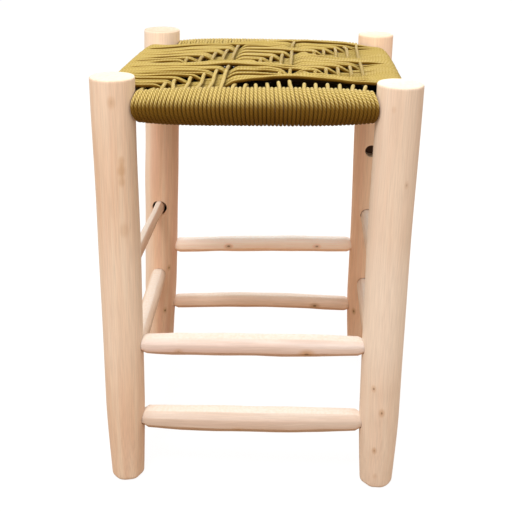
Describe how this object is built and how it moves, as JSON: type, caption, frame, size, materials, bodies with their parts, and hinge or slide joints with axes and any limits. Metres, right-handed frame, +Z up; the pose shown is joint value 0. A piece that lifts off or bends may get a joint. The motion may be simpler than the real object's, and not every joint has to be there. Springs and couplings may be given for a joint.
{
  "type": "stool",
  "caption": "Tall square stool of peeled round poles joined by hewn stretchers, with a seat woven of olive cord over round rails in a pattern of small triangles.",
  "frame": {"origin": "on the floor, under the middle of the stool's outline seen from above", "axes": "+Z up, +Y from the front of the stool to its back, +X to the right seen from the front"},
  "size_m": [0.4432, 0.4438, 0.6],
  "materials": {
    "peeled_pole": "peeled and sanded pale pole, unvarnished, with fine grain and small knots",
    "hewn_stretcher": "hand-hewn pale wood with flat tool facets, unvarnished",
    "olive_cord": "round braided cord, matt with a slight sheen"
  },
  "bodies": {
    "root": {"leg_front_left": "peeled_pole", "leg_front_right": "peeled_pole", "leg_back_left": "peeled_pole", "leg_back_right": "peeled_pole", "seat_rail_front": "peeled_pole", "seat_rail_back": "peeled_pole", "seat_rail_left": "peeled_pole", "seat_rail_right": "peeled_pole", "stretcher_front_upper": "hewn_stretcher", "stretcher_front_lower": "hewn_stretcher", "stretcher_back_upper": "hewn_stretcher", "stretcher_back_lower": "hewn_stretcher", "stretcher_left_upper": "hewn_stretcher", "stretcher_left_lower": "hewn_stretcher", "stretcher_right_upper": "hewn_stretcher", "stretcher_right_lower": "hewn_stretcher", "warp_cord": "olive_cord", "weft_cord": "olive_cord"}
  },
  "joints": []
}
